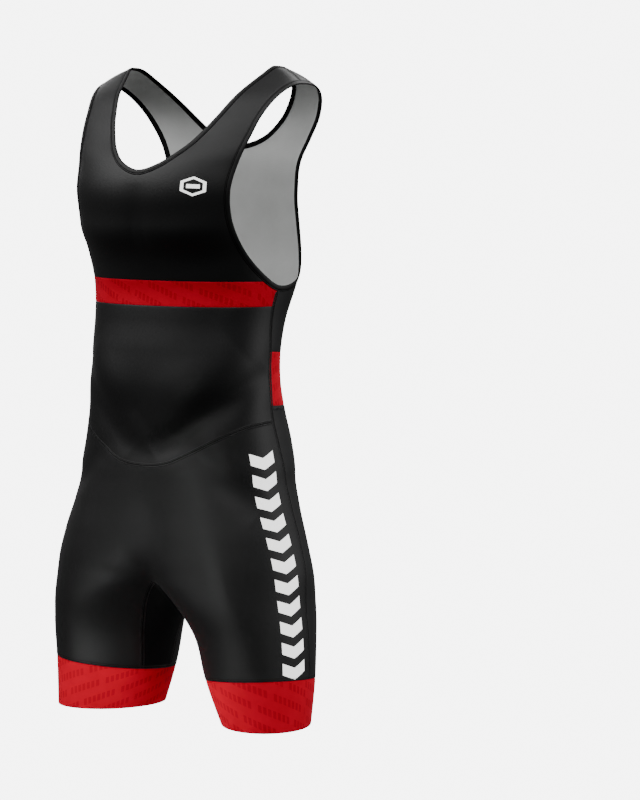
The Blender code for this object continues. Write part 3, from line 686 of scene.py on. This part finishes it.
def printed(name, spine, shapes, material):
    """A flat print: quads given by corners (along, across) in mm from a spine on the cloth, each
    filled by a bilinear net, set off square to the spine and laid on the cloth."""
    spine = evenly(spine)
    run, side = lengths(spine), sideways_of(spine, closed=False)
    points, faces, start = [], [], 0
    for corners in shapes:
        a, b, c, d = np.array(corners, float) / 1000
        spans = np.linalg.norm([(b - a, c - d), (d - a, c - b)], axis=-1).max(-1)
        rows, columns = np.maximum(2, np.ceil(spans / PRINT_CELL).astype(int) + 1)
        u, v = np.meshgrid(np.linspace(0, 1, rows), np.linspace(0, 1, columns), indexing="ij")
        u, v = u[..., None], v[..., None]
        flat = (1 - u) * (1 - v) * a + u * (1 - v) * b + u * v * c + (1 - u) * v * d
        foot, away = (points_at(flat[..., 0], run, line) for line in (spine, side))
        laid = drop(foot + away * flat[..., 1:], rounds=6)
        points.append(on_cloth(laid, PRINT_RISE).reshape(-1, 3))
        outer = wall_faces(rows, columns)[0]
        first = points[-1][outer[0]]
        if np.cross(first[1] - first[0], first[3] - first[0]) @ outward(first[0]) < 0:
            outer = outer[:, ::-1]
        faces.append(outer + start)
        start += rows * columns
    return add_piece(name, np.concatenate(points), np.concatenate(faces), (material,))


# ---- materials ----
def linear(colour):
    """Linear light of an sRGB hex colour."""
    value = np.array([int(colour[k:k + 2], 16) for k in (1, 3, 5)]) / 255
    return (*np.where(value <= 0.04045, value / 12.92, ((value + 0.055) / 1.055) ** 2.4), 1.0)


def wire(tree, node, **inputs):
    """Sets a node's sockets by name or number, and links those that are given an output."""
    for key, value in inputs.items():
        socket = node.inputs[int(key[1:]) if key[1:].isdigit() else key.replace("_", " ")]
        if isinstance(value, bpy.types.NodeSocket):
            tree.links.new(value, socket)
        else:
            socket.default_value = value


def add(tree, kind, settings=(), **inputs):
    """Adds a node with its properties and its sockets."""
    node = tree.nodes.new(kind)
    for key, value in dict(settings).items():
        setattr(node, key, value)
    wire(tree, node, **inputs)
    return node


def new_material(name):
    """A new material, its node tree and its Principled shader."""
    material = bpy.data.materials.new(name)
    material.use_nodes = True
    return material, material.node_tree, material.node_tree.nodes["Principled BSDF"]


def knit(name, tone, deep, rough, gloss, dashes=None):
    """Warp-knit polyester with elastane. Its loops stand in fine columns, which give a soft satin
    light along them. They are 0.4 mm apart, too fine to show, so they are drawn wider."""
    material, tree, shader = new_material(name)
    place = add(tree, "ShaderNodeUVMap", {"uv_map": "cloth"}).outputs["UV"]
    where = add(tree, "ShaderNodeTexCoord").outputs["Object"]
    cloud = add(tree, "ShaderNodeTexNoise", Vector=where, Scale=38.0, Detail=3.0, Roughness=0.6)
    amount = add(tree, "ShaderNodeMapRange", Value=cloud.outputs["Fac"], From_Min=0.3, From_Max=0.7)
    colour = add(tree, "ShaderNodeMix", {"data_type": "RGBA"}, _0=amount.outputs["Result"],
                 _6=linear(tone), _7=linear(deep)).outputs[2]
    if dashes is not None:
        colour = dashes(tree, place, colour)
    narrow = add(tree, "ShaderNodeMapping", Vector=place,
                 Scale=(1 / LOOP_WIDTH, 0.45 / LOOP_WIDTH, 1.0)).outputs["Vector"]
    loops = add(tree, "ShaderNodeTexNoise", Vector=narrow, Scale=1.0, Detail=1.0, Roughness=0.5)
    bump = add(tree, "ShaderNodeBump", Strength=0.22, Distance=0.0005, Height=loops.outputs["Fac"])
    wire(tree, shader, Base_Color=colour, Normal=bump.outputs["Normal"], Roughness=rough, IOR=1.46,
         Specular_IOR_Level=gloss, Sheen_Weight=0.03, Sheen_Roughness=0.45)
    return material


def slanted_dashes(tree, place, ground):
    """Rows of short leaning dashes, a shade darker than the ground. The rows are 19 mm apart and
    climb at about 20 degrees; a dash is 4.5 mm of every 7 mm, and every eighth is left out."""
    turned = add(tree, "ShaderNodeMapping", Vector=place, Rotation=(0, 0, -np.radians(DASH_CLIMB)))
    parts = add(tree, "ShaderNodeSeparateXYZ", Vector=turned.outputs["Vector"]).outputs

    def maths(operation, *values):
        sockets = {f"_{k}": value for k, value in enumerate(values)}
        return add(tree, "ShaderNodeMath", {"operation": operation}, **sockets).outputs[0]

    row = maths("MULTIPLY", parts["Y"], 1 / DASH_ROWS)
    lean = maths("MULTIPLY_ADD", parts["Y"], -DASH_LEAN, parts["X"])
    shifted = maths("MULTIPLY_ADD", maths("FLOOR", row), DASH_SHIFT, lean)
    step = maths("MULTIPLY", shifted, 1 / DASH_STEP)
    in_row = maths("LESS_THAN", maths("FRACT", row), DASH_HEIGHT)
    in_dash = maths("LESS_THAN", maths("FRACT", step), DASH_LENGTH)
    group = maths("FRACT", maths("MULTIPLY", step, 1 / DASH_GROUP))
    in_group = maths("LESS_THAN", group, 1 - 1 / DASH_GROUP)
    mask = maths("MULTIPLY", maths("MULTIPLY", in_row, in_dash), in_group)
    weak = maths("MULTIPLY", mask, DASH_DARKNESS)
    dark = add(tree, "ShaderNodeMix", {"data_type": "RGBA", "blend_type": "MULTIPLY"},
               _0=weak, _6=ground, _7=linear(DASH_TINT))
    return dark.outputs[2]


def plain(name, colour, rough, gloss, grain=0.0012, glow=0.0):
    """Woven or printed trim: one dyed colour with a fine grain in its surface. The glow is painted
    light: an emission that makes a white print shine brighter than the lamps alone light it."""
    material, tree, shader = new_material(name)
    where = add(tree, "ShaderNodeTexCoord").outputs["Object"]
    noise = add(tree, "ShaderNodeTexNoise", Vector=where, Scale=1 / grain, Detail=2.0)
    mix = add(tree, "ShaderNodeMix", {"data_type": "RGBA"}, _0=noise.outputs["Fac"],
              _6=linear(colour), _7=tuple(c * 0.78 for c in linear(colour)[:3]) + (1,))
    bump = add(tree, "ShaderNodeBump", Strength=0.2, Distance=0.0003, Height=noise.outputs["Fac"])
    wire(tree, shader, Base_Color=mix.outputs[2], Normal=bump.outputs["Normal"], Roughness=rough,
         # where a glow is given, the emission is painted light
         Specular_IOR_Level=gloss, Emission_Color=linear(colour), Emission_Strength=glow)
    return material


# ---- the garment ----
def dress(piece, slot, *nodes):
    """Hangs a piece on the garment and hides the imported parts of the nodes that it stands for. Its
    slot is not used.
    """
    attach(piece, "root")
    if nodes:
        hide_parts(*nodes)


def inner_edge(start, seam):
    """A panel's inner edge, up the centre line and on along a seam, and its corner's share."""
    centre = centre_line(start, seam[0])
    edge = join(centre, seam)
    return edge, lengths(centre)[-1] / lengths(edge)[-1]


def build_panels(s, look):
    """The eight cut panels of the body by their nodes, each a net between its four seam lines."""
    made = {}

    def cut(node, name, outside, *edges, corners=()):
        made[node] = panel(name, net(*edges, corners=corners), look[outside], look["grey"])

    # chest with both front straps: its rows run from the centre line and the neckline to the arm
    inner, low = inner_edge(s["band_top"][0], s["neck_front"])
    cut("front_upper", "chest_and_straps", "black", s["band_top"], s["shoulder"], inner,
        s["arm_chest"][::-1], corners=(0.3, low, 0.3))

    # red band under the chest
    top = join(s["band_top"], s["arm_band"])
    cut("chest_band", "chest_band_cloth", "red", top, s["band_bottom"],
        centre_line(top[0], s["band_bottom"][0]), s["side_band"])

    # belly
    cut("front_belly", "belly_cloth", "black", s["band_bottom"], s["yoke"],
        centre_line(s["band_bottom"][0], s["yoke"][0]),
        join(s["side_back"], s["side_back_band"], s["side_yoke"]))

    # front of the shorts, with both thighs
    inner, low = inner_edge(s["yoke"][0], s["gusset_front"])
    cut("shorts_front", "shorts_front_cloth", "shorts", s["yoke"], s["hem_front"], inner,
        s["side_leg"], corners=(0.5, low, 0.5))

    # back with both back straps, laid out like the chest
    side = join(s["side_band"], s["side_back"])[::-1]
    outer = join(side, s["arm_back"])
    inner = inner_edge(s["back_top"][0], s["neck_back"][::-1])[0]
    turn = lengths(centre_line(s["back_top"][0], (0, 0.1, BACK_TURN)))[-1]
    cut("back_upper", "back_and_straps", "black", s["back_top"], s["shoulder"], inner, outer,
        corners=(0.2, turn / lengths(inner)[-1], lengths(side)[-1] / lengths(outer)[-1]))

    # red band across the back of the waist
    cut("back_band", "back_band_cloth", "red", s["back_top"], s["back_bottom"],
        centre_line(s["back_top"][0], s["back_bottom"][0]), s["side_back_band"])

    # seat and back of both thighs
    inner, low = inner_edge(s["back_bottom"][0], s["gusset_back"])
    cut("shorts_back", "shorts_back_cloth", "shorts", s["back_bottom"], s["hem_back"], inner,
        join(s["side_yoke"], s["side_leg"]), corners=(0.55, low, 0.55))

    # inner-leg and crotch panel
    under = smooth([s["gusset_front"][0], (0, -CROTCH_DEPTH, CROTCH_LOW), (0, 0, CROTCH_LOW),
                    (0, CROTCH_DEPTH, CROTCH_LOW), s["gusset_back"][0]])
    under[:, 0] = 0
    cut("crotch_gusset", "gusset_cloth", "gusset", s["gusset_front"], s["gusset_back"], under,
        s["hem_inner"])
    return made


def build_trims(s, look):
    """Leg bands and folded bindings by their nodes, and the flat seams sewn over the joins."""
    cuffs, bindings, seams = {}, {}, {}
    sides = {"left": 1, "right": -1}

    def bind(node, name, edge, towards):
        # the thread on the tape's outer join, turned fold and inner face is painted shade
        bindings[node] = strip(name, edge, binding_section(), (look["tape"], look["thread"]), True,
                               towards=towards, thread_and_shade_sides=TAPE_SHADOWS)

    def sew(name, line, width=STITCH_WIDTH, closed=False):
        seams[name] = strip(name, evenly(line, closed), stitch_section(width),
                            (look["shorts"], look["thread"]), closed, thread_and_shade_sides=SEAM_THREADS)

    for name, side in sides.items():
        cuffs["hem_band_" + name] = cuff("leg_band_" + name, side, look["red"], look["grey"])
        arm = evenly(s["arm"] * (side, 1, 1), closed=True)
        bind("armhole_binding_" + name, "armhole_tape_" + name, arm, arm.mean(0))
    neck = evenly(np.vstack([s["neck"], mirrored(s["neck"])[1:-1]]), closed=True)
    bind("neck_binding", "neck_tape", neck, metres(0, 30, 50))

    sew("yoke_stitches", whole_line(s["yoke"]))
    sew("gusset_front_stitches", whole_line(s["gusset_front"]))
    sew("gusset_back_stitches", whole_line(s["gusset_back"]))
    low = drop(s["back_bottom"] - (0, 0, WAIST_DROP), level=True)
    sew("waist_stitches", whole_line(low), WAIST_STITCH)
    for name, side in sides.items():
        sew("side_stitches_" + name, s["side"] * (side, 1, 1))
        sew("shoulder_stitches_" + name, s["shoulder"] * (side, 1, 1))
        ring = cuff_ring(CUFF_TOP + CUFF_RISE)[:-1] * (side, 1, 1)
        sew("cuff_stitches_" + name, ring, CUFF_STITCH, closed=True)
    return cuffs, bindings, seams


def hexagon_ring(centre, size, thick, stretch):
    """Six quads between an outer and an inner hexagon, in mm along and across a spine."""
    angle = np.radians(np.arange(0, 420, 60) + 30)
    ring = np.stack([np.sin(angle), np.cos(angle) * stretch], -1)
    outer, inner = (centre, 0) + ring * size, (centre, 0) + ring * (size - thick)
    return [(outer[k], outer[k + 1], inner[k + 1], inner[k]) for k in range(6)]


def slanted(start, length, low, high, lean=0.0):
    """A bar across the spine: its two long sides lean by so many mm for each mm across."""
    return [(start + lean * low, low), (start + length + lean * low, low),
            (start + length + lean * high, high), (start + lean * high, high)]


def chevrons(start, count):
    """A row of equal arrow heads that point along the spine, each of two leaning bars."""
    lean = CHEVRON_POINT / (2 * CHEVRON_HALF)
    bars = ((-CHEVRON_HALF, 0, lean), (0, CHEVRON_HALF, -lean))
    return [slanted(start + CHEVRON_PITCH * k, CHEVRON_LENGTH, *bar)
            for k in range(count) for bar in bars]


def build_prints(s, look):
    """Plain generic marks by their nodes: arrow heads down one leg and on the back band, hexagons
    and fine lines."""
    made = {}

    def mark(node, name, shapes):
        start, end, count = SPINES[name]
        spine = drop(np.linspace(*metres(start, end), count))
        made[node] = printed(name, spine, shapes, look["white"])

    emblem = hexagon_ring(EMBLEM_CENTRE, EMBLEM_SIZE, EMBLEM_BAND, EMBLEM_STRETCH)
    emblem.append(slanted(*EMBLEM_BAR))
    mark("front_upper", "chest_emblem", emblem)
    mark("back_upper", "back_emblem", emblem)
    mark("shorts_front", "leg_chevrons", chevrons(LEG_START, LEG_CHEVRONS))
    bottom = at_shares(s["back_bottom"], np.linspace(0, 1, len(s["back_top"])))
    middle = whole_line(drop((s["back_top"] + bottom) / 2, level=True))
    row = chevrons(500 * lengths(middle)[-1] - BACK_START, BACK_CHEVRONS)
    made["back_band"] = printed("back_band_chevrons", middle, row, look["ink"])
    mark("shorts_back", "leg_lines", [slanted(*line) for line in LEG_LINES])
    return made


# ---- light, backdrop and camera ----
PAPER_LIGHT, ROOM_LIGHT = 7.2, 0.05     # strengths of the seamless paper and of the room
ROOM_RADIUS, FLOOR_SHARE = 7.0, 0.9     # the paper is a ball with a floor at a share of its radius
# place, size, power in W, height it is aimed at, and how wide its grid lets the light spread
SOFT_BOXES = [
    ("high_box", (0.95, -1.15, 2.45), 2.4, 64, -0.40, 180),
    ("side_box_left", (-1.85, -1.45, 1.75), 2.4, 60, -0.40, 180),
    ("side_box_right", (2.80, 1.50, 0.05), 2.4, 34, -0.40, 180),
    ("back_box_high", (0.30, 2.30, 2.30), 2.4, 85, -0.40, 180),
    ("back_box_left", (-2.40, 2.20, 0.70), 2.4, 55, -0.40, 180),
    ("thigh_grid", (0.10, -3.15, -0.50), 0.25, 0.095, -0.60, 8),
    ("low_grid_left", (-0.95, -3.00, -1.50), 0.25, 0.135, -0.81, 7),
    ("low_grid_front", (0.70, -3.00, -1.50), 0.25, 0.085, -0.81, 7),
    ("low_grid_right", (3.00, -0.60, -1.50), 0.5, 0.06, -0.74, 13),
]
CAMERA_PLACE, FOCAL_LENGTH = (2.447, -3.069, -0.073), 136.5
LEVEL_WAY, LEVEL_RIGHT = (-0.6235, 0.7818, 0), (0.7818, 0.6235, 0)
SLOPE_RIGHT, SLOPE_DOWN = 0.0451615, 0.09093606


def area_light(name, place, size, power, height, spread):
    """A round soft box that faces the garment."""
    lamp = bpy.data.lights.new(name, "AREA")
    lamp.shape, lamp.size, lamp.energy, lamp.spread = "DISK", size, power, np.radians(spread)
    light = bpy.data.objects.new(name, lamp)
    light.location = place
    turn = (Vector((0, 0, height)) - Vector(place)).to_track_quat("-Z", "Y")
    light.rotation_euler = turn.to_euler()
    bpy.context.scene.collection.objects.link(light)
    return light


def build_studio():
    """Pale seamless paper all round, large soft boxes high up and at the sides, in front and behind,
    and small ones with grids that reach the legs alone."""
    paper, tree, shader = new_material("pale seamless paper")
    tree.nodes.remove(shader)
    glow = add(tree, "ShaderNodeEmission", Color=linear("#f2f2f2"), Strength=PAPER_LIGHT)
    wire(tree, tree.nodes["Material Output"], Surface=glow.outputs[0])
    angle, level = np.meshgrid(np.linspace(0, 2 * np.pi, 49)[:-1], np.linspace(0, np.pi, 25),
                               indexing="ij")
    bowl = ROOM_RADIUS * np.stack([np.cos(angle) * np.sin(level), np.sin(angle) * np.sin(level),
                                   np.maximum(-np.cos(level), -FLOOR_SHARE)], -1)
    sheet = np.arange(angle.size).reshape(angle.shape)
    ahead = np.roll(sheet, -1, axis=0)
    faces = np.stack([sheet[:, :-1], sheet[:, 1:], ahead[:, 1:], ahead[:, :-1]], -1).reshape(-1, 4)
    backdrop = add_piece("seamless_paper", bowl.reshape(-1, 3), faces, (paper,))
    for ray in ("diffuse", "glossy", "transmission", "volume_scatter", "shadow"):
        setattr(backdrop, "visible_" + ray, False)
    world = bpy.data.worlds.new("room")
    world.use_nodes = True
    wire(world.node_tree, world.node_tree.nodes["Background"], Color=(1, 1, 1, 1),
         Strength=ROOM_LIGHT)
    bpy.context.scene.world = world
    [area_light(*row) for row in SOFT_BOXES]


def build_camera():
    """A long lens, level with the chest, a little to the wearer's left. Its aim is the level way to
    the garment with a small slope to the right and one down."""
    lens = bpy.data.cameras.new("camera")
    lens.lens, lens.sensor_width, lens.clip_end = FOCAL_LENGTH, 36.0, 100
    camera = bpy.data.objects.new("camera", lens)
    camera.location = CAMERA_PLACE
    aim = Vector(LEVEL_WAY) + Vector(LEVEL_RIGHT) * SLOPE_RIGHT - Vector((0, 0, SLOPE_DOWN))
    camera.rotation_euler = aim.to_track_quat("-Z", "Y").to_euler()
    bpy.context.scene.collection.objects.link(camera)
    bpy.context.scene.camera = camera


# ---- everything in its place ----
LOOK = {
    # warp-knit polyester with elastane, smooth side out: a satin light that follows the form
    "black": knit("black polyester knit", "#0d0d0e", "#09090a", 0.52, gloss=0.48),
    "shorts": knit("black polyester knit of the shorts", "#0e0e0f", "#0a0a0b", 0.54, gloss=0.50),
    # a duller knit with hardly any light on it
    "gusset": knit("dull black knit of the gusset", "#0d0d0e", "#09090a", 0.75, gloss=0.10),
    # dyed knit: a deep matt red with darker dashes in it
    "red": knit("red polyester knit", "#ee0a30", "#e2082b", 0.70, gloss=0.03,
                dashes=slanted_dashes),
    # the reverse of the knit, which takes no dye: flat and pale
    "grey": knit("grey reverse of the knit", "#c4c5c4", "#bebfbe", 0.80, gloss=0.2),
    # woven polyester tape and spun thread: a low sheen, and almost none
    "tape": plain("black folded binding tape", "#0b0b0c", 0.56, gloss=0.36),
    # the thread also lies on each binding's outer join, fold and inner face as painted shade
    "thread": plain("black polyester thread and painted shade", "#050505", 0.80, gloss=0.10, grain=0.0009),
    # heat-transfer film: an even matt face; the white one glows with painted light
    "white": plain("white transfer print", "#f6f6f4", 0.60, gloss=0.3, glow=1.6),
    "ink": plain("black transfer print", "#0a0a0b", 0.60, gloss=0.15),
}
SLOTS = {"black_knit": ["front_upper", "front_belly", "back_upper"],
         "black_shorts": ["shorts_front", "shorts_back", "crotch_gusset"],
         "red_knit": ["chest_band", "back_band", "hem_band_left", "hem_band_right"],
         "black_binding": ["neck_binding", "armhole_binding_left", "armhole_binding_right"]}
SLOT_OF = {node: slot for slot, nodes in SLOTS.items() for node in nodes}
# the flat cut of each piece before it is stretched: width, length and area, in m and square m
CUTS = {"front_upper": (0.270, 0.260, 0.0495), "chest_band": (0.330, 0.032, 0.0098),
        "front_belly": (0.310, 0.200, 0.0560), "shorts_front": (0.520, 0.330, 0.1230),
        "back_upper": (0.300, 0.365, 0.0760), "back_band": (0.320, 0.066, 0.0207),
        "shorts_back": (0.520, 0.400, 0.1280), "crotch_gusset": (0.240, 0.150, 0.0180),
        "hem_band_left": (0.400, 0.056, 0.0220), "hem_band_right": (0.400, 0.056, 0.0220)}

# what is sewn on each cloth piece
SEWN_ON = {"front_upper": ["neck_binding", "armhole_binding_left", "armhole_binding_right",
                           "shoulder_stitches_left", "shoulder_stitches_right"],
           "front_belly": ["yoke_stitches", "side_stitches_left", "side_stitches_right"],
           "shorts_back": ["waist_stitches"],
           "crotch_gusset": ["gusset_front_stitches", "gusset_back_stitches"],
           "hem_band_left": ["cuff_stitches_left"], "hem_band_right": ["cuff_stitches_right"]}

SEAMS = seam_layout()
CLOTH_PIECES = build_panels(SEAMS, LOOK)
CUFFS, BINDINGS, STITCHES = build_trims(SEAMS, LOOK)
PRINTS = build_prints(SEAMS, LOOK)
CLOTH_PIECES.update(CUFFS)
for node, piece in {**CLOTH_PIECES, **BINDINGS}.items():
    dress(piece, SLOT_OF[node], node)
for piece in STITCHES.values():
    dress(piece, "black_binding")
for node, piece in PRINTS.items():
    dress(piece, SLOT_OF[node])
TRIMS = {**BINDINGS, **STITCHES}
for node, (width, length, area) in CUTS.items():
    pieces = [TRIMS[name] for name in SEWN_ON.get(node, ())]
    if node in PRINTS:
        pieces.append(PRINTS[node])

build_studio()
build_camera()
